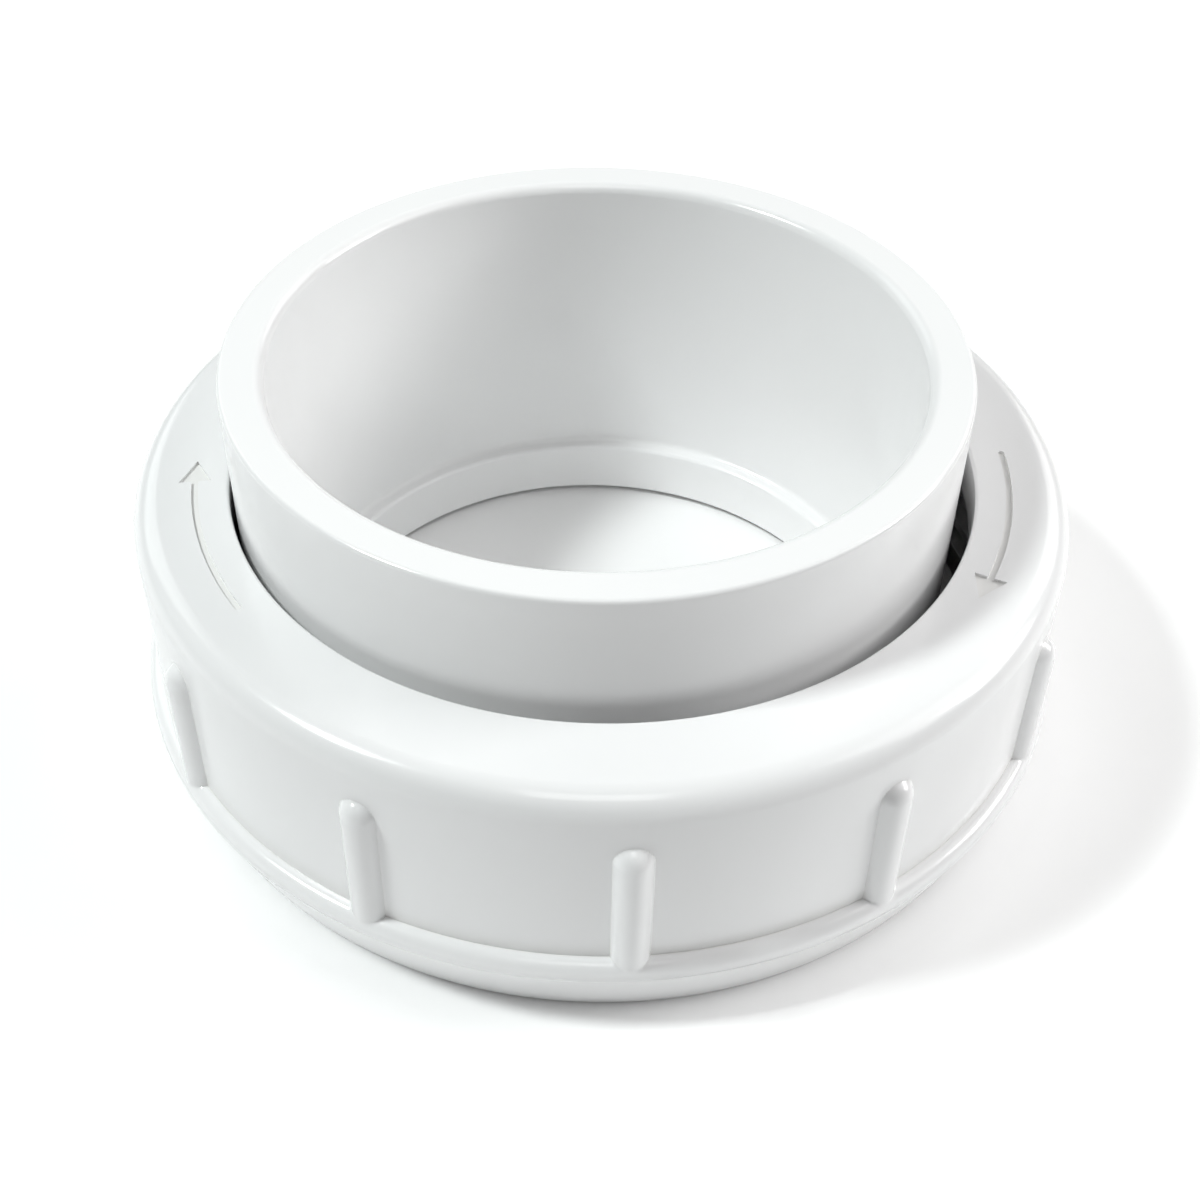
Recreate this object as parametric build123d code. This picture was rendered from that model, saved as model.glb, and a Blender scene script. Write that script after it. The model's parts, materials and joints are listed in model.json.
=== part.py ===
"""Half of a three-inch slip union in white PVC: tailpiece, union nut and O-ring.

Millimetres, +Z up. The origin is the middle of the nut's foot, on the plane that the fitting
stands on. The nut lies loose round the tailpiece and a little to one side of it.
"""

import os

from build123d import *

# ---- where the tailpiece and its seal stand ----
TAILPIECE_X = -0.96
TAILPIECE_Y = 0.66
TAILPIECE_FOOT_Z = 0.8  # the O-ring stands proud of the tailpiece's face by this much

# ---- tailpiece: slip socket, stop ledge, bore and collar ----
BARREL_RADIUS = 50.6
BARREL_TOP_Z = 58.0
SOCKET_RADIUS = 44.6  # a three-inch pipe, 88.9 across, slips in with solvent cement
LEDGE_Z = 9.4  # the pipe's end stops here
BORE_RADIUS = 42.3
RIM_INNER_ROUND = 1.5
RIM_OUTER_ROUND = 0.6
LEDGE_CORNER_ROUND = 0.8
LEDGE_EDGE_ROUND = 0.6
COLLAR_RADIUS = 57.2
COLLAR_TOP_Z = 10.8
COLLAR_ROOT_ROUND = 0.8
COLLAR_EDGE_ROUND = 0.6

# ---- O-ring, a standard size, and its groove ----
RING_THICKNESS = 5.33
RING_INNER_DIAMETER = 94.62
RING_SECTION_RADIUS = RING_THICKNESS / 2
RING_MEAN_RADIUS = RING_INNER_DIAMETER / 2 + RING_SECTION_RADIUS
GROOVE_SIDE_GAP = 0.25
GROOVE_ROOF_GAP = 0.1

# ---- union nut: outside ----
NUT_TOP_Z = 40.7
HOLE_RADIUS = 52.0
HOLE_EDGE_ROUND = 0.5
SHOULDER_ROUND = 3.6
SKIRT_RADIUS = 65.2
BEAD_RADIUS = 67.4
BEAD_TOP_Z = 12.5
BEAD_TOP_ROUND = 1.95
PARTING_Z = 10.1  # the mould's parting line, round the widest part of the bead
FOOT_RADIUS = 63.4
FOOT_EDGE_ROUND = 0.4

# ---- union nut: grip ribs ----
RIB_COUNT = 12
RIB_STEP_DEG = 360 / RIB_COUNT
RIB_FIRST_DEG = -86.0  # the direction of one rib, from +X
RIB_RADIUS = 2.6
RIB_CENTRE_RADIUS = 64.45
RIB_TOP_Z = 33.2

# ---- union nut: inside ----
LIP_THICKNESS = 7.0
CHAMBER_RADIUS = 61.4
LEAD_IN_RADIUS = 62.0
LEAD_IN_HEIGHT = 1.2
THREAD_PITCH = 5.08
THREAD_TURNS = 4
THREAD_START_Z = 4.6
THREAD_START_DEG = 20.0
THREAD_CREST_RADIUS = 59.0
THREAD_CREST_WIDTH = 1.3
THREAD_ROOT_WIDTH = 3.4
THREAD_SINK = 0.3  # the ridge reaches this far into the wall, to be one piece with it

# ---- union nut: sunken arrows on the top face, showing which way it tightens ----
ARROW_RADIUS = 56.6
ARROW_STROKE = 0.9
ARROW_DEPTH = 0.4
ARROW_SPAN_DEG = 28.0
ARROW_MIDDLES_DEG = (-12.0, 202.0)
ARROW_HEAD_LENGTH = 4.6
ARROW_HEAD_WIDTH = 4.4

SHARP = 0


def turned(points, rounds):
    """The solid that a closed outline sweeps round Z. A point is (radius, height)."""
    corners = [Vector(radius, 0, height) for radius, height in points]
    outline = FilletPolyline(*corners, radius=rounds, close=True)
    return revolve(make_face(outline.edges()), axis=Axis.Z)


def make_tailpiece():
    """The tube that a pipe is cemented into, with the collar that the nut pulls down on."""
    body = turned(
        [
            (BORE_RADIUS, TAILPIECE_FOOT_Z),
            (BORE_RADIUS, LEDGE_Z),
            (SOCKET_RADIUS, LEDGE_Z),
            (SOCKET_RADIUS, BARREL_TOP_Z),
            (BARREL_RADIUS, BARREL_TOP_Z),
            (BARREL_RADIUS, COLLAR_TOP_Z),
            (COLLAR_RADIUS, COLLAR_TOP_Z),
            (COLLAR_RADIUS, TAILPIECE_FOOT_Z),
        ],
        [
            COLLAR_EDGE_ROUND,
            LEDGE_EDGE_ROUND,
            LEDGE_CORNER_ROUND,
            RIM_INNER_ROUND,
            RIM_OUTER_ROUND,
            COLLAR_ROOT_ROUND,
            COLLAR_EDGE_ROUND,
            COLLAR_EDGE_ROUND,
        ],
    )
    groove_inner = RING_MEAN_RADIUS - RING_SECTION_RADIUS - GROOVE_SIDE_GAP
    groove_outer = RING_MEAN_RADIUS + RING_SECTION_RADIUS + GROOVE_SIDE_GAP
    groove_roof_z = RING_THICKNESS + GROOVE_ROOF_GAP
    groove = turned(
        [
            (groove_inner, 0),
            (groove_outer, 0),
            (groove_outer, groove_roof_z),
            (groove_inner, groove_roof_z),
        ],
        SHARP,
    )
    return Pos(TAILPIECE_X, TAILPIECE_Y, 0) * (body - groove)


def make_o_ring():
    """The rubber face seal, which stands on the ground plane."""
    ring = Torus(RING_MEAN_RADIUS, RING_SECTION_RADIUS)
    return Pos(TAILPIECE_X, TAILPIECE_Y, RING_SECTION_RADIUS) * ring


def make_nut_shell():
    """The nut without its ribs, thread and arrows."""
    lip_z = NUT_TOP_Z - LIP_THICKNESS
    return turned(
        [
            (FOOT_RADIUS, 0),
            (BEAD_RADIUS, PARTING_Z),
            (BEAD_RADIUS, BEAD_TOP_Z),
            (SKIRT_RADIUS, BEAD_TOP_Z),
            (SKIRT_RADIUS, NUT_TOP_Z),
            (HOLE_RADIUS, NUT_TOP_Z),
            (HOLE_RADIUS, lip_z),
            (CHAMBER_RADIUS, lip_z),
            (CHAMBER_RADIUS, LEAD_IN_HEIGHT),
            (LEAD_IN_RADIUS, 0),
        ],
        [
            FOOT_EDGE_ROUND,
            SHARP,
            BEAD_TOP_ROUND,
            SHARP,
            SHOULDER_ROUND,
            HOLE_EDGE_ROUND,
            HOLE_EDGE_ROUND,
            HOLE_EDGE_ROUND,
            SHARP,
            SHARP,
        ],
    )


def make_rib(direction):
    """One half-round grip rib with a domed top, which runs down into the bead."""
    dome_z = RIB_TOP_Z - RIB_RADIUS
    height = dome_z - PARTING_Z
    rod = Pos(0, 0, PARTING_Z + height / 2) * Cylinder(RIB_RADIUS, height)
    dome = Pos(0, 0, dome_z) * Sphere(RIB_RADIUS)
    return Rot(0, 0, direction) * Pos(RIB_CENTRE_RADIUS, 0, 0) * (rod + dome)


def make_thread():
    """The ridge of the coarse right-hand thread, wound up the chamber's wall."""
    root_radius = CHAMBER_RADIUS + THREAD_SINK
    section = Plane.XZ * Polygon(
        (root_radius, -THREAD_ROOT_WIDTH / 2),
        (THREAD_CREST_RADIUS, -THREAD_CREST_WIDTH / 2),
        (THREAD_CREST_RADIUS, THREAD_CREST_WIDTH / 2),
        (root_radius, THREAD_ROOT_WIDTH / 2),
        align=None,
    )
    winding = Helix(THREAD_PITCH, THREAD_PITCH * THREAD_TURNS, CHAMBER_RADIUS)
    ridge = sweep(section, path=winding, is_frenet=True)
    return Pos(0, 0, THREAD_START_Z) * Rot(0, 0, THREAD_START_DEG) * ridge


def make_arrow(middle):
    """One curved arrow, pointing clockwise from above, as the cutter that sinks it."""
    tail_deg = middle + ARROW_SPAN_DEG / 2
    shaft = SlotArc(
        CenterArc((0, 0), ARROW_RADIUS, tail_deg, -ARROW_SPAN_DEG), ARROW_STROKE
    )
    head = Polygon(
        (-ARROW_HEAD_WIDTH / 2, 0),
        (0, -ARROW_HEAD_LENGTH),
        (ARROW_HEAD_WIDTH / 2, 0),
        align=None,
    )
    tip_deg = middle - ARROW_SPAN_DEG / 2
    placed_head = Rot(0, 0, tip_deg) * Pos(ARROW_RADIUS, 0, 0) * head
    return Pos(0, 0, NUT_TOP_Z) * extrude(shaft + placed_head, amount=ARROW_DEPTH, both=True)


def make_union_nut():
    """The nut as one piece: shell, grip ribs and thread, with the arrows sunk in its top."""
    nut = make_nut_shell()
    for number in range(RIB_COUNT):
        nut += make_rib(RIB_FIRST_DEG + number * RIB_STEP_DEG)
    for middle in ARROW_MIDDLES_DEG:
        nut -= make_arrow(middle)
    return nut + make_thread()


PIECES = {
    "tailpiece": make_tailpiece,
    "o_ring": make_o_ring,
    "union_nut": make_union_nut,
}

os.makedirs("parts", exist_ok=True)
for name, make_piece in PIECES.items():
    export_step(make_piece(), f"parts/{name}.step")
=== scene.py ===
"""Looks of a three-inch slip union half: white PVC tailpiece, union nut and rubber O-ring.

The scene is in metres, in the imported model's frame: +Z up, with the origin in the middle of the
nut's foot. Sizes of mouldings are in millimetres, and turned into metres where a mesh is made.
"""

import cmath
import json
import math

import bmesh
import bpy
from mathutils import Matrix, Vector, noise


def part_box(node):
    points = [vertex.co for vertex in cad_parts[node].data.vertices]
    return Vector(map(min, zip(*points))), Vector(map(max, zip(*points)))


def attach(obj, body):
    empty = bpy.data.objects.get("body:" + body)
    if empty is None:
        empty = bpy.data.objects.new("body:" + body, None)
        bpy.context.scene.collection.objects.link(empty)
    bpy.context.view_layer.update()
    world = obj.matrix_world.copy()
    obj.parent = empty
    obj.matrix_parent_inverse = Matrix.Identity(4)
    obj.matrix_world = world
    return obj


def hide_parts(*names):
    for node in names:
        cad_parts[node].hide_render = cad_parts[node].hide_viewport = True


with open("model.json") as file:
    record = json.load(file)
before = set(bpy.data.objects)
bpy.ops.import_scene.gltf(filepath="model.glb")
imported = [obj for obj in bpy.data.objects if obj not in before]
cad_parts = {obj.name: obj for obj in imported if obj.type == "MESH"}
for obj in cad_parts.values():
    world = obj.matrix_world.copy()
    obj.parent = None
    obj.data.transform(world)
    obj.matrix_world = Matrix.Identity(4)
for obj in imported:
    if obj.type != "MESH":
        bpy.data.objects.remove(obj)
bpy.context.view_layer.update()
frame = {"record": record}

MM = 0.001
SHARP = 0.0  # the rounding of a corner that has none
FULL_TURN = 2 * math.pi


def node_size_mm(node):
    """Centre, lowest corner and highest corner of a CAD node, in millimetres."""
    low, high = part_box(node)
    return (low + high) / 2 / MM, low / MM, high / MM


def mount_named(name):
    """One of the record's mounts."""
    return next(mount for mount in frame["record"]["mounts"] if mount["name"] == name)


# ---- sizes that the frame gives ----
TAIL_CENTRE, TAIL_LOW, TAIL_HIGH = node_size_mm("tailpiece")
RING_CENTRE, RING_LOW, RING_HIGH = node_size_mm("o_ring")
NUT_CENTRE, NUT_LOW, NUT_HIGH = node_size_mm("union_nut")
TAIL_FOOT_Z = TAIL_LOW.z
TAIL_TOP_Z = TAIL_HIGH.z
NUT_TOP_Z = NUT_HIGH.z
SOCKET_RADIUS = mount_named("pipe_socket")["dims"]["r_mm"]
COLLAR_RADIUS = (TAIL_HIGH.x - TAIL_LOW.x) / 2
BEAD_RADIUS = (NUT_HIGH.x - NUT_LOW.x) / 2
RING_OUTER_RADIUS = (RING_HIGH.x - RING_LOW.x) / 2
RING_SECTION_RADIUS = (RING_HIGH.z - RING_LOW.z) / 2

# ---- tailpiece ----
BARREL_WALL = 6.0
BARREL_RADIUS = SOCKET_RADIUS + BARREL_WALL
RIM_INNER_ROUND = 1.5
RIM_OUTER_ROUND = 0.6
LEDGE_WIDTH = 2.3
LEDGE_Z = 9.4
LEDGE_CORNER_ROUND = 0.8
LEDGE_EDGE_ROUND = 0.6
BORE_RADIUS = SOCKET_RADIUS - LEDGE_WIDTH
BORE_FOOT_ROUND = 0.5
COLLAR_TOP_Z = 10.8
COLLAR_ROOT_ROUND = 0.8
COLLAR_EDGE_ROUND = 0.6
GROOVE_SIDE_GAP = 0.25
GROOVE_ROOF_GAP = 0.1
GROOVE_ROOF_ROUND = 0.5
GROOVE_MOUTH_ROUND = 0.15
TAIL_ARC_STEPS = 7
TAIL_COLUMNS = 360

# ---- O-ring ----
RING_FLASH = 0.06
RING_FLASH_SHARPNESS = 6
RING_SECTION_POINTS = 36
RING_COLUMNS = 240

# ---- union nut: turned shape ----
HOLE_RADIUS = 52.0
LIP_THICKNESS = 7.0
LIP_Z = NUT_TOP_Z - LIP_THICKNESS
LIP_ROUND = 0.5
SHOULDER_ROUND = 3.6
BEAD_OVERHANG = 2.2
SKIRT_RADIUS = BEAD_RADIUS - BEAD_OVERHANG
BEAD_TOP_Z = 12.5
BEAD_TOP_ROUND = 1.8
FOOT_INSET = 4.0
FOOT_RADIUS = BEAD_RADIUS - FOOT_INSET
FOOT_OUTER_ROUND = 0.4
FOOT_INNER_ROUND = 0.15
CHAMBER_RADIUS = 61.4
LEAD_IN_RADIUS = 62.0
LEAD_IN_HEIGHT = 1.2
NUT_ARC_STEPS = 9

# ---- union nut: flash on the parting line, round the widest part of the bead ----
PARTING_Z = 10.1
FLASH_HEIGHT = 0.14
FLASH_HALF_WIDTH = 0.16
FLASH_FADE = 0.3
FLASH_WAVES = 9

# ---- union nut: grip ribs ----
RIB_COUNT = 12
RIB_STEP = FULL_TURN / RIB_COUNT
RIB_FIRST = math.radians(-86.0)
RIB_RADIUS = 2.6
RIB_SINK = 0.75
RIB_CENTRE_RADIUS = SKIRT_RADIUS - RIB_SINK
RIB_TOP_Z = 33.2
RIB_DOME_Z = RIB_TOP_Z - RIB_RADIUS
RIB_FOOT_Z = PARTING_Z - FLASH_HALF_WIDTH
RIB_CREASE = 0.2
RIB_ARC_STEPS = 21
RIB_LENGTH_STEPS = 8
RIB_DOME_STEPS = 10
BETWEEN_RIBS_STEPS = 15

# ---- union nut: thread, whose rounded corners are given in shares of its pitch and its depth ----
THREAD_PITCH = 5.08
THREAD_TURNS = 4
THREAD_START_Z = 4.6
THREAD_START = math.radians(20.0)
THREAD_RUN_IN = math.radians(14.0)
THREAD_CREST_RADIUS = 59.0
THREAD_DEPTH = CHAMBER_RADIUS - THREAD_CREST_RADIUS
THREAD_CREST_WIDTH = 1.3
THREAD_ROOT_WIDTH = 3.4
THREAD_CORNER_OUTWARD = 0.03
THREAD_CORNER_INWARD = 0.01
THREAD_ROOT_CORNER_HEIGHT = 0.05
THREAD_CREST_CORNER_HEIGHT = 0.9

# ---- union nut: arrows sunk in the top face ----
ARROW_RADIUS = 56.6
ARROW_STROKE = 0.9
ARROW_DEPTH = 0.4
ARROW_SPAN = math.radians(28.0)
ARROW_MIDDLES = (math.radians(-12.0), math.radians(202.0))
ARROW_HEAD_LENGTH = 4.6
ARROW_HEAD_WIDTH = 4.4
ARROW_STEPS = 24
ARROW_CAP_STEPS = 8

# ---- surfaces: noise scales are in waves per metre, and the relief is in metres ----
SHARP_EDGE = math.radians(32)
WHITE = (1, 1, 1, 1)
FINE_RELIEF = 0.00002
CLOUD_SCALE = 22
CLOUD_RANGE = (0.3, 0.7)
# pointiness over which concave corners, creases and recesses take the painted shade colour
CREASE_SHADE_RANGE = (0.49, 0.42)
SCUFF_SCALE = 70
SCUFF_RANGE = (0.3, 0.75)
SCUFF_ROUGHNESS = (0.13, 0.2)
SCRATCH_STRETCH = (90, 1400, 240)
SCRATCH_RANGE = (0.68, 0.76)
SCRATCH_ROUGHNESS = (0, 0.08)
SCRATCH_BUMP = 0.2
FLOW_BUMP = 0.25
PVC_IOR = 1.53
RUBBER_BLACK = (0.012, 0.012, 0.013, 1)
RUBBER_DUST = (0.05, 0.049, 0.047, 1)
RUBBER_ROUGHNESS = (0.38, 0.6)
DUST_SCALE = 260
DUST_RANGE = (0.5, 0.8)
GRAIN_SCALE = 2600
GRAIN_BUMP = 0.5
PAPER_WHITE = (0.92, 0.92, 0.92, 1)
PAPER_GREY = (0.45, 0.45, 0.45, 1)
PAPER_ROUGHNESS = 0.9
PAPER_SPECULAR = 0.1
FIBRE_SCALE = 900
FIBRE_BUMP = 0.3

# ---- studio, in metres ----
ROOM_STRENGTH = 0.12
FLOOR_REACH = 4.0
FLOOR_CELLS = 8
# painted light: a glow in a ring just round the nut's foot, which lightens the object's cast shadow
# on the floor
SHADOW_FILL_GLOW = 0.12
SHADOW_FILL_EDGE = (0.0634, 0.072)
WHITE_FLOOR_MIDDLE = (0, 0.14, 0)
WHITE_FLOOR_EDGE = (0.24, 0.33)
FAR_FLOOR_GLOW = 0.35
FAR_FLOOR_EDGE = (0.35, 1.5)
LIGHTS_AIM = Vector((0, 0, NUT_TOP_Z / 2 * MM))
COOL_WHITE = (0.95, 1.0, 0.99)
WARM_WHITE = (1.0, 0.995, 0.99)

# ---- camera ----
CAMERA_PLACE = (0.0, -0.1917, 0.1871)
CAMERA_PITCH = math.radians(42.26)
CAMERA_ROLL = math.radians(1.07)
CAMERA_LENS_MM = 51.12
CAMERA_SENSOR_MM = 36.0


# ---- outlines and meshes ----
def rounded_outline(corners, arc_steps):
    """Points along an outline of (radius, height, rounding) corners, as complex radius + height i."""
    outline = []
    count = len(corners)
    for number, (radius, height, rounding) in enumerate(corners):
        here = complex(radius, height)
        if rounding == SHARP:
            outline.append(here)
            continue
        before = complex(*corners[number - 1][:2]) - here
        after = complex(*corners[(number + 1) % count][:2]) - here
        before /= abs(before)
        after /= abs(after)
        half_angle = abs(cmath.phase(after / before)) / 2
        middle = (before + after) / abs(before + after)
        centre = here + middle * rounding / math.sin(half_angle)
        start = here + before * rounding / math.tan(half_angle) - centre
        end = here + after * rounding / math.tan(half_angle) - centre
        turn = cmath.phase(end / start)
        for step in range(arc_steps + 1):
            outline.append(centre + start * cmath.exp(1j * turn * step / arc_steps))
    return outline


def point_at(centre, angle, radius, height):
    """A point in metres from a radius and a height in millimetres about a centre."""
    return Vector(
        (
            (centre.x + radius * math.cos(angle)) * MM,
            (centre.y + radius * math.sin(angle)) * MM,
            height * MM,
        )
    )


def add_ring(mesh, centre, angles, radii, height):
    """One level ring of vertices, with a radius for each angle."""
    return [
        mesh.verts.new(point_at(centre, angle, radius, height))
        for angle, radius in zip(angles, radii)
    ]


def bridge_rows(mesh, lower, upper):
    """Quads between two open rows of vertices."""
    for column in range(len(lower) - 1):
        mesh.faces.new((lower[column], lower[column + 1], upper[column + 1], upper[column]))


def bridge_rings(mesh, lower, upper):
    """Quads between two closed rings of vertices."""
    bridge_rows(mesh, lower + lower[:1], upper + upper[:1])


def lathe(centre, columns, outline):
    """The mesh that a closed outline of complex points sweeps round a centre."""
    mesh = bmesh.new()
    angles = [FULL_TURN * number / columns for number in range(columns)]
    rings = [
        add_ring(mesh, centre, angles, [point.real] * columns, point.imag) for point in outline
    ]
    for lower, upper in zip(rings, rings[1:] + rings[:1]):
        bridge_rings(mesh, lower, upper)
    return mesh


def mesh_object(name, mesh):
    """An object in the scene made from a bmesh, which is used up."""
    data = bpy.data.meshes.new(name)
    mesh.to_mesh(data)
    mesh.free()
    made = bpy.data.objects.new(name, data)
    bpy.context.scene.collection.objects.link(made)
    return made


def shade_smooth(piece):
    """Smooth faces with crisp edges, whose normals follow the largest faces round each point."""
    piece.data.polygons.foreach_set("use_smooth", [True] * len(piece.data.polygons))
    piece.data.set_sharp_from_angle(angle=SHARP_EDGE)
    weighted = piece.modifiers.new("weighted normals", "WEIGHTED_NORMAL")
    weighted.keep_sharp = True
    weighted.mode = "FACE_AREA"


def finish_piece(name, mesh, body, node, material):
    """Turns a bmesh into a smooth-shaded object that stands for a CAD node and rides on its body."""
    bmesh.ops.recalc_face_normals(mesh, faces=mesh.faces)
    piece = mesh_object(name, mesh)
    shade_smooth(piece)
    piece.data.materials.append(material)
    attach(piece, body)
    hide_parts(node)


# ---- material nodes ----
def new_material(name):
    """A node material and its Principled shader."""
    material = bpy.data.materials.new(name)
    material.use_nodes = True
    shader = material.node_tree.nodes["Principled BSDF"]
    return material, shader


def drive(material, socket, value):
    """Sets an input to a value, or links it to the output socket that drives it."""
    if isinstance(value, bpy.types.NodeSocket):
        material.node_tree.links.new(value, socket)
    else:
        socket.default_value = value


def add_node(material, kind, inputs=None, **settings):
    """A node with its settings; an input is a value, or the output socket that drives it."""
    node = material.node_tree.nodes.new(kind)
    for name, value in settings.items():
        setattr(node, name, value)
    for key, value in (inputs or {}).items():
        drive(material, node.inputs[key], value)
    return node


def object_place(material):
    """The coordinates of each point on the piece, in metres."""
    return add_node(material, "ShaderNodeTexCoord").outputs["Object"]


def noise_field(material, place, scale, detail=3, roughness=0.55):
    """Noise from 0 to 1 over the piece."""
    node = add_node(
        material,
        "ShaderNodeTexNoise",
        {"Vector": place, "Scale": scale, "Detail": detail, "Roughness": roughness},
    )
    return node.outputs["Fac"]


def streak_field(material, place, stretch):
    """Noise that runs in streaks along the axis whose coordinates are stretched least."""
    mapping = add_node(material, "ShaderNodeMapping", {"Vector": place, "Scale": stretch})
    return noise_field(material, mapping.outputs["Vector"], scale=1, detail=2)


def remap(material, field, from_range, to_range=(0, 1)):
    """A field stretched from one range of values to another, and held within it."""
    node = add_node(
        material,
        "ShaderNodeMapRange",
        {
            "Value": field,
            "From Min": from_range[0],
            "From Max": from_range[1],
            "To Min": to_range[0],
            "To Max": to_range[1],
        },
    )
    return node.outputs["Result"]


def blend_colours(material, field, first, second):
    """The first colour where the field is 0 and the second where it is 1."""
    node = add_node(material, "ShaderNodeMix", data_type="RGBA")
    for name, value in (("Factor_Float", field), ("A_Color", first), ("B_Color", second)):
        drive(material, next(s for s in node.inputs if s.identifier == name), value)
    return next(s for s in node.outputs if s.identifier == "Result_Color")


def bump(material, field, strength, under=None):
    """A fine bump, over another bump if one is given."""
    inputs = {"Height": field, "Distance": FINE_RELIEF, "Strength": strength}
    if under is not None:
        inputs["Normal"] = under
    return add_node(material, "ShaderNodeBump", inputs).outputs["Normal"]


def add_fields(material, first, second):
    """The sum of two fields."""
    node = add_node(material, "ShaderNodeMath", {0: first, 1: second}, operation="ADD")
    return node.outputs["Value"]


def distance(material, place, middle):
    """How far each point is from a middle, in metres."""
    node = add_node(material, "ShaderNodeVectorMath", {0: place, 1: middle}, operation="DISTANCE")
    return node.outputs["Value"]


# ---- materials ----
def white_pvc(name, colour, cloud_colour, crease_shade_colour, streaks):
    """Gloss white PVC: faint flow marks, handling scuffs, hairline scratches, and painted shade that
    darkens its concave corners and recesses.
    """
    material, shader = new_material(name)
    place = object_place(material)
    pointiness = add_node(material, "ShaderNodeNewGeometry").outputs["Pointiness"]
    clouds = remap(material, noise_field(material, place, CLOUD_SCALE), CLOUD_RANGE)
    # painted shade: the colour darkens where the surface is concave, in corners, creases, rib roots
    # and the sunken arrows
    crease_shade = remap(material, pointiness, CREASE_SHADE_RANGE)
    body_colour = blend_colours(material, clouds, colour, cloud_colour)
    crease_shaded_colour = blend_colours(material, crease_shade, body_colour, crease_shade_colour)
    drive(material, shader.inputs["Base Color"], crease_shaded_colour)

    scuffs = noise_field(material, place, SCUFF_SCALE)
    scuffed = remap(material, scuffs, SCUFF_RANGE, SCUFF_ROUGHNESS)
    hairs = streak_field(material, place, SCRATCH_STRETCH)
    scratched = remap(material, hairs, SCRATCH_RANGE, SCRATCH_ROUGHNESS)
    drive(material, shader.inputs["Roughness"], add_fields(material, scuffed, scratched))

    flowing = bump(material, streak_field(material, place, streaks), FLOW_BUMP)
    drive(material, shader.inputs["Normal"], bump(material, scratched, SCRATCH_BUMP, flowing))
    shader.inputs["IOR"].default_value = PVC_IOR
    return material


def black_rubber(name):
    """Moulded nitrile rubber: dark, dull, finely grained, with a little dust."""
    material, shader = new_material(name)
    place = object_place(material)
    specks = noise_field(material, place, DUST_SCALE, detail=6, roughness=0.7)
    dust = remap(material, specks, DUST_RANGE)
    grain = noise_field(material, place, GRAIN_SCALE)
    dusty_colour = blend_colours(material, dust, RUBBER_BLACK, RUBBER_DUST)
    drive(material, shader.inputs["Base Color"], dusty_colour)
    drive(material, shader.inputs["Roughness"], remap(material, dust, (0, 1), RUBBER_ROUGHNESS))
    drive(material, shader.inputs["Normal"], bump(material, grain, GRAIN_BUMP))
    return material


def studio_paper(name):
    """Matt paper, white round the object and pale grey further away, which glows more further out to
    stay pale; a glow painted in a ring just round the nut's foot lightens the object's cast shadow
    there.
    """
    material, shader = new_material(name)
    place = object_place(material)
    fibre = noise_field(material, place, FIBRE_SCALE, detail=5)
    drive(material, shader.inputs["Normal"], bump(material, fibre, FIBRE_BUMP))
    shader.inputs["Roughness"].default_value = PAPER_ROUGHNESS
    shader.inputs["Specular IOR Level"].default_value = PAPER_SPECULAR

    from_object = distance(material, place, (0, 0, 0))
    from_middle = distance(material, place, WHITE_FLOOR_MIDDLE)
    # painted light: a glow in a ring just outside the nut's foot, which lightens the cast shadow on
    # the paper
    painted_shadow_fill = remap(material, from_object, SHADOW_FILL_EDGE, (0, SHADOW_FILL_GLOW))
    far_glow = remap(material, from_middle, FAR_FLOOR_EDGE, (0, FAR_FLOOR_GLOW))
    glow = add_fields(material, painted_shadow_fill, far_glow)
    drive(material, shader.inputs["Emission Strength"], glow)
    shader.inputs["Emission Color"].default_value = WHITE
    greyed = remap(material, from_middle, WHITE_FLOOR_EDGE)
    paper_colour = blend_colours(material, greyed, PAPER_WHITE, PAPER_GREY)
    drive(material, shader.inputs["Base Color"], paper_colour)
    return material


# ---- tailpiece ----
def make_tailpiece(material):
    """The slip socket with its stop ledge, collar and O-ring groove, lathed in one closed outline."""
    groove_outer = RING_OUTER_RADIUS + GROOVE_SIDE_GAP
    groove_inner = RING_OUTER_RADIUS - 2 * RING_SECTION_RADIUS - GROOVE_SIDE_GAP
    groove_roof_z = RING_HIGH.z + GROOVE_ROOF_GAP
    outline = rounded_outline(
        [
            (BORE_RADIUS, TAIL_FOOT_Z, BORE_FOOT_ROUND),
            (BORE_RADIUS, LEDGE_Z, LEDGE_EDGE_ROUND),
            (SOCKET_RADIUS, LEDGE_Z, LEDGE_CORNER_ROUND),
            (SOCKET_RADIUS, TAIL_TOP_Z, RIM_INNER_ROUND),
            (BARREL_RADIUS, TAIL_TOP_Z, RIM_OUTER_ROUND),
            (BARREL_RADIUS, COLLAR_TOP_Z, COLLAR_ROOT_ROUND),
            (COLLAR_RADIUS, COLLAR_TOP_Z, COLLAR_EDGE_ROUND),
            (COLLAR_RADIUS, TAIL_FOOT_Z, COLLAR_EDGE_ROUND),
            (groove_outer, TAIL_FOOT_Z, GROOVE_MOUTH_ROUND),
            (groove_outer, groove_roof_z, GROOVE_ROOF_ROUND),
            (groove_inner, groove_roof_z, GROOVE_ROOF_ROUND),
            (groove_inner, TAIL_FOOT_Z, GROOVE_MOUTH_ROUND),
        ],
        TAIL_ARC_STEPS,
    )
    mesh = lathe(TAIL_CENTRE, TAIL_COLUMNS, outline)
    finish_piece("tailpiece_moulding", mesh, "tailpiece", "tailpiece", material)


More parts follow.
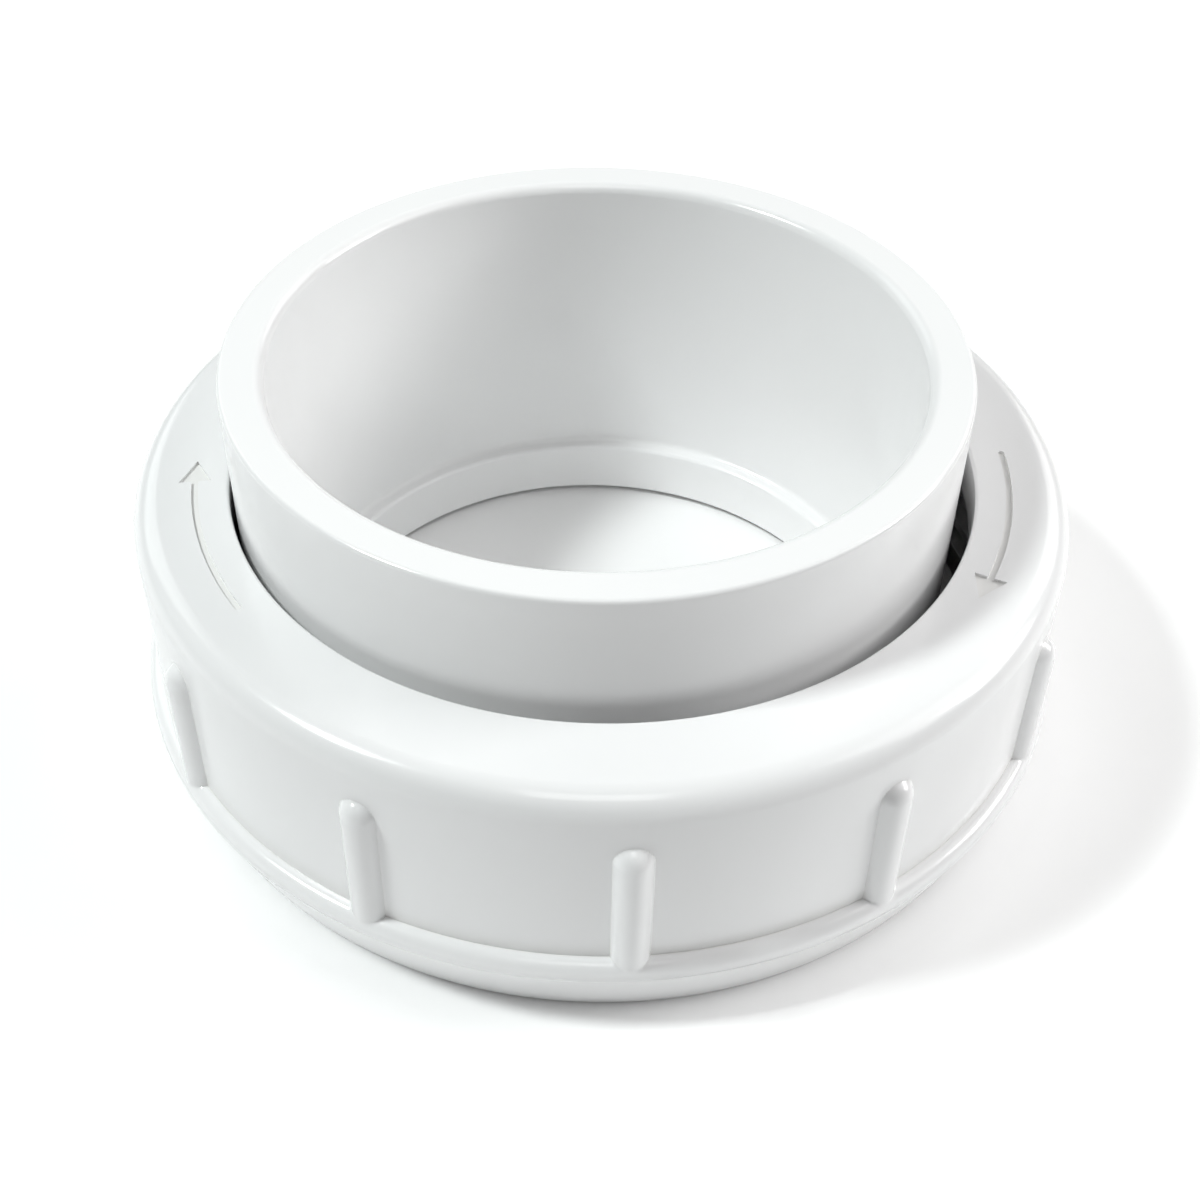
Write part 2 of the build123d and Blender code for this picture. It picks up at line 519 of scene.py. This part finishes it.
# ---- O-ring ----
def make_o_ring(material):
    """The rubber ring, with the thin mould line round its inside and outside."""
    mean_radius = RING_OUTER_RADIUS - RING_SECTION_RADIUS
    outline = []
    for number in range(RING_SECTION_POINTS):
        around = FULL_TURN * number / RING_SECTION_POINTS
        line = RING_FLASH * max(0.0, 1 - abs(math.sin(around)) * RING_FLASH_SHARPNESS)
        section = RING_SECTION_RADIUS - RING_FLASH + line
        radius = mean_radius + section * math.cos(around)
        height = RING_CENTRE.z + RING_SECTION_RADIUS * math.sin(around)
        outline.append(complex(radius, height))
    mesh = lathe(RING_CENTRE, RING_COLUMNS, outline)
    finish_piece("o_ring_rubber", mesh, "o_ring", "o_ring", material)


# ---- union nut: outside ----
def nut_angles():
    """Angles round the nut: close together over each rib's arc, wider between the ribs."""
    angles = []
    half_rib = math.asin(RIB_RADIUS / RIB_CENTRE_RADIUS)
    gap = RIB_STEP - 2 * half_rib
    for rib in range(RIB_COUNT):
        middle = RIB_FIRST + rib * RIB_STEP
        for step in range(RIB_ARC_STEPS):
            along = math.pi * (step / RIB_ARC_STEPS - 0.5)
            angles.append(middle + half_rib * math.sin(along))
        for step in range(BETWEEN_RIBS_STEPS):
            angles.append(middle + half_rib + gap * step / BETWEEN_RIBS_STEPS)
    return angles


def rib_surface(angle, height):
    """Radius of the nearest rib's surface, or nothing where there is no rib."""
    if height < RIB_FOOT_Z:
        return None
    off = (angle - RIB_FIRST + RIB_STEP / 2) % RIB_STEP - RIB_STEP / 2
    aside = RIB_CENTRE_RADIUS * math.sin(off)
    above = max(0.0, height - RIB_DOME_Z)
    left = RIB_RADIUS**2 - aside**2 - above**2
    if left <= 0:
        return None
    return RIB_CENTRE_RADIUS * math.cos(off) + math.sqrt(left)


def ribbed_radius(angle, radius, height):
    """Radius of the nut's outside, with the ribs melted onto the plain turned surface."""
    rib = rib_surface(angle, height)
    if rib is None or rib < radius - RIB_CREASE:
        return radius
    overlap = max(0.0, RIB_CREASE - abs(rib - radius))
    return max(rib, radius) + overlap**2 / (4 * RIB_CREASE)


def flash_radius(angle):
    """Radius of the thin fin of flash on the parting line, which comes and goes."""
    way = Vector((math.cos(angle), math.sin(angle), 0)) * FLASH_WAVES
    return BEAD_RADIUS - FLASH_HEIGHT * FLASH_FADE * (1 + noise.noise(way))


def nut_outline():
    """The nut's outline from the chamber's foot, round the outside, to the chamber's top."""
    bead = BEAD_RADIUS - FLASH_HEIGHT
    rib_length = RIB_DOME_Z - BEAD_TOP_Z
    rib_rows = [
        (SKIRT_RADIUS, BEAD_TOP_Z + rib_length * row / RIB_LENGTH_STEPS, SHARP)
        for row in range(1, RIB_LENGTH_STEPS)
    ]
    dome_rows = [
        (SKIRT_RADIUS, RIB_DOME_Z + RIB_RADIUS * math.sin(math.pi / 2 * row / RIB_DOME_STEPS), SHARP)
        for row in range(RIB_DOME_STEPS + 1)
    ]
    return rounded_outline(
        [
            (CHAMBER_RADIUS, LEAD_IN_HEIGHT, SHARP),
            (LEAD_IN_RADIUS, 0.0, FOOT_INNER_ROUND),
            (FOOT_RADIUS, 0.0, FOOT_OUTER_ROUND),
            (bead, PARTING_Z - FLASH_HALF_WIDTH, SHARP),
            (BEAD_RADIUS, PARTING_Z, SHARP),
            (bead, PARTING_Z + FLASH_HALF_WIDTH, SHARP),
            (bead, BEAD_TOP_Z, BEAD_TOP_ROUND),
            (SKIRT_RADIUS, BEAD_TOP_Z, SHARP),
            *rib_rows,
            *dome_rows,
            (SKIRT_RADIUS, RIB_TOP_Z + RIB_CREASE, SHARP),
            (SKIRT_RADIUS, NUT_TOP_Z, SHOULDER_ROUND),
            (HOLE_RADIUS, NUT_TOP_Z, LIP_ROUND),
            (HOLE_RADIUS, LIP_Z, LIP_ROUND),
            (CHAMBER_RADIUS, LIP_Z, LIP_ROUND),
        ],
        NUT_ARC_STEPS,
    )


# ---- union nut: thread ----
def thread_section():
    """One pitch of the thread as (way along the pitch, height of the ridge), both as shares."""
    half_crest = THREAD_CREST_WIDTH / THREAD_PITCH / 2
    half_root = THREAD_ROOT_WIDTH / THREAD_PITCH / 2
    falling = [
        (half_crest - THREAD_CORNER_INWARD, 1.0),
        (half_crest + THREAD_CORNER_OUTWARD, THREAD_CREST_CORNER_HEIGHT),
        (half_root - THREAD_CORNER_INWARD, THREAD_ROOT_CORNER_HEIGHT),
        (half_root + THREAD_CORNER_OUTWARD, 0.0),
    ]
    rising = [(-away, height) for away, height in reversed(falling)]
    return [(0.5 + away, height) for away, height in rising + falling]


def thread_strength(wound):
    """How much of the ridge is there after the thread has wound through an angle from its start."""
    run_in = wound / THREAD_RUN_IN
    run_out = (THREAD_TURNS * FULL_TURN - wound) / THREAD_RUN_IN
    return max(0.0, min(1.0, run_in, run_out))


def add_thread_rows(mesh, angles):
    """Rows of vertices on the chamber's wall, which climb one pitch in a turn as the thread does."""
    first_angle = angles[0]
    first_z = THREAD_START_Z - THREAD_PITCH * (0.5 + (THREAD_START - first_angle) / FULL_TURN)
    rows = []
    for turn in range(THREAD_TURNS + 1):
        for share, ridge in thread_section():
            row = []
            for angle in angles:
                strength = thread_strength(turn * FULL_TURN + angle - THREAD_START)
                radius = CHAMBER_RADIUS - THREAD_DEPTH * ridge * strength
                climb = turn + share + (angle - first_angle) / FULL_TURN
                height = first_z + THREAD_PITCH * climb
                row.append(mesh.verts.new(point_at(NUT_CENTRE, angle, radius, height)))
            rows.append(row)
    return rows


def add_threaded_wall(mesh, angles, foot_ring, top_ring):
    """The chamber's wall with the thread's ridge, closed where each turn runs into the next."""
    rows = add_thread_rows(mesh, angles)
    per_pitch = len(thread_section())
    for lower, upper in zip([foot_ring, *rows], [*rows, top_ring]):
        bridge_rows(mesh, lower, upper)
    seam = [(row[-1], row_above[0]) for row, row_above in zip(rows, rows[per_pitch:])]
    for lower, upper in zip(seam, seam[1:]):
        bridge_rows(mesh, lower, upper)
    foot_seam = [row[0] for row in rows[: per_pitch + 1]]
    mesh.faces.new((foot_ring[-1], foot_ring[0], *foot_seam, rows[0][-1]))
    top_seam = [row[-1] for row in rows[-per_pitch - 1 :]]
    mesh.faces.new((top_ring[-1], *reversed(top_seam), rows[-1][0], top_ring[0]))


# ---- union nut: arrows ----
def arrow_outline(middle):
    """A curved arrow that points clockwise from above, as (angle, radius) points."""
    half = ARROW_STROKE / 2
    tail = middle + ARROW_SPAN / 2
    neck = middle - ARROW_SPAN / 2
    tip = neck - ARROW_HEAD_LENGTH / ARROW_RADIUS
    shaft = [tail + (neck - tail) * step / ARROW_STEPS for step in range(ARROW_STEPS + 1)]
    outer = [(angle, ARROW_RADIUS + half) for angle in shaft]
    inner = [(angle, ARROW_RADIUS - half) for angle in reversed(shaft)]
    head = [
        (neck, ARROW_RADIUS + ARROW_HEAD_WIDTH / 2),
        (tip, ARROW_RADIUS),
        (neck, ARROW_RADIUS - ARROW_HEAD_WIDTH / 2),
    ]
    tail_cap = []
    for step in range(1, ARROW_CAP_STEPS):
        around = math.pi * step / ARROW_CAP_STEPS
        angle = tail + half * math.sin(around) / ARROW_RADIUS
        tail_cap.append((angle, ARROW_RADIUS - half * math.cos(around)))
    return outer + head + inner + tail_cap


def make_arrow_cutter(middle):
    """A closed prism in the shape of an arrow, which reaches below and above the nut's top face."""
    outline = arrow_outline(middle)
    mesh = bmesh.new()
    layers = [
        [mesh.verts.new(point_at(NUT_CENTRE, angle, radius, height)) for angle, radius in outline]
        for height in (NUT_TOP_Z - ARROW_DEPTH, NUT_TOP_Z + ARROW_DEPTH)
    ]
    bridge_rings(mesh, *layers)
    ends = [mesh.faces.new(layer) for layer in layers]
    bmesh.ops.triangulate(mesh, faces=ends)
    bmesh.ops.recalc_face_normals(mesh, faces=mesh.faces)
    return mesh_object("arrow_cutter", mesh)


def sink_arrows(mesh):
    """The nut's mesh with the arrows cut into its top face."""
    bmesh.ops.recalc_face_normals(mesh, faces=mesh.faces)
    blank = mesh_object("nut_blank", mesh)
    cutters = [make_arrow_cutter(middle) for middle in ARROW_MIDDLES]
    for cutter in cutters:
        cut = blank.modifiers.new("arrow", "BOOLEAN")
        cut.operation = "DIFFERENCE"
        cut.solver = "EXACT"
        cut.object = cutter
    bpy.context.view_layer.update()
    evaluated = blank.evaluated_get(bpy.context.evaluated_depsgraph_get())
    cut_mesh = bmesh.new()
    cut_mesh.from_mesh(evaluated.to_mesh())
    evaluated.to_mesh_clear()
    for spent in cutters + [blank]:
        bpy.data.objects.remove(spent)
    return cut_mesh


def make_union_nut(material):
    """The ribbed nut: turned outline, ribs, parting-line flash, thread and the two sunken arrows."""
    mesh = bmesh.new()
    angles = nut_angles()
    rings = []
    for point in nut_outline():
        if point.imag == PARTING_Z:
            radii = [flash_radius(angle) for angle in angles]
        else:
            radii = [ribbed_radius(angle, point.real, point.imag) for angle in angles]
        rings.append(add_ring(mesh, NUT_CENTRE, angles, radii, point.imag))
    for lower, upper in zip(rings, rings[1:]):
        bridge_rings(mesh, lower, upper)
    add_threaded_wall(mesh, angles, rings[0], rings[-1])
    finished = sink_arrows(mesh)
    finish_piece("union_nut_moulding", finished, "union_nut", "union_nut", material)


# ---- studio ----
def make_floor(material):
    """A large sheet of paper under the object."""
    mesh = bmesh.new()
    bmesh.ops.create_grid(mesh, x_segments=FLOOR_CELLS, y_segments=FLOOR_CELLS, size=FLOOR_REACH)
    floor = mesh_object("floor", mesh)
    floor.data.materials.append(material)


def add_area_light(name, place, size, power, colour):
    """A square soft light that faces the object."""
    data = bpy.data.lights.new(name, "AREA")
    data.shape = "SQUARE"
    data.size = size
    data.energy = power
    data.color = colour
    light = bpy.data.objects.new(name, data)
    light.location = place
    towards = LIGHTS_AIM - light.location
    light.rotation_euler = towards.to_track_quat("-Z", "Y").to_euler()
    bpy.context.scene.collection.objects.link(light)


def make_lights():
    """A small key light high on the left, softboxes on the other sides, and a dim pale room."""
    world = bpy.data.worlds.new("studio")
    world.use_nodes = True
    background = world.node_tree.nodes["Background"]
    background.inputs["Color"].default_value = WHITE
    background.inputs["Strength"].default_value = ROOM_STRENGTH
    bpy.context.scene.world = world
    add_area_light("key_left", (-0.70, -0.12, 1.0), size=0.2, power=9.2, colour=COOL_WHITE)
    add_area_light("box_left_back", (-0.7, 0.7, 0.6), size=0.6, power=2.0, colour=COOL_WHITE)
    add_area_light("box_right_back", (0.7, 0.7, 0.6), size=0.6, power=2.4, colour=WARM_WHITE)
    add_area_light("box_right_high", (0.85, 0.0, 0.75), size=0.7, power=3.0, colour=WARM_WHITE)
    add_area_light("box_right_low", (1.0, 0.1, 0.48), size=0.4, power=4.6, colour=WARM_WHITE)
    add_area_light("box_front_top", (0.0, -0.45, 1.0), size=0.4, power=1.3, colour=WARM_WHITE)


def make_camera():
    """A camera in front of the object and above it, looking down and slightly rolled."""
    data = bpy.data.cameras.new("camera")
    data.sensor_width = CAMERA_SENSOR_MM
    data.lens = CAMERA_LENS_MM
    camera = bpy.data.objects.new("camera", data)
    right = Vector((1, 0, 0))
    up = Vector((0, math.sin(CAMERA_PITCH), math.cos(CAMERA_PITCH)))
    forward = Vector((0, math.cos(CAMERA_PITCH), -math.sin(CAMERA_PITCH)))
    rolled_right = right * math.cos(CAMERA_ROLL) + up * math.sin(CAMERA_ROLL)
    rolled_up = up * math.cos(CAMERA_ROLL) - right * math.sin(CAMERA_ROLL)
    turn = Matrix((rolled_right, rolled_up, -forward)).transposed()
    camera.matrix_world = Matrix.Translation(CAMERA_PLACE) @ turn.to_4x4()
    bpy.context.scene.collection.objects.link(camera)
    bpy.context.scene.camera = camera


def set_view():
    """Plain display colours, as a product photograph has."""
    settings = bpy.context.scene.view_settings
    settings.view_transform = "Standard"
    settings.look = "None"


tail_white = white_pvc(
    "tailpiece_white_pvc",
    colour=(0.88, 0.88, 0.88, 1),
    cloud_colour=(0.868, 0.87, 0.873, 1),
    # the darker colour painted into concave corners and recesses as shade
    crease_shade_colour=(0.84, 0.835, 0.82, 1),
    streaks=(60, 60, 12),
)
nut_white = white_pvc(
    "nut_white_pvc",
    colour=(0.875, 0.877, 0.88, 1),
    cloud_colour=(0.863, 0.865, 0.868, 1),
    # the darker colour painted into concave corners and recesses as shade
    crease_shade_colour=(0.83, 0.827, 0.815, 1),
    streaks=(45, 45, 30),
)
make_tailpiece(tail_white)
make_o_ring(black_rubber("o_ring_black_rubber"))
make_union_nut(nut_white)
make_floor(studio_paper("studio_paper"))
make_lights()
make_camera()
set_view()
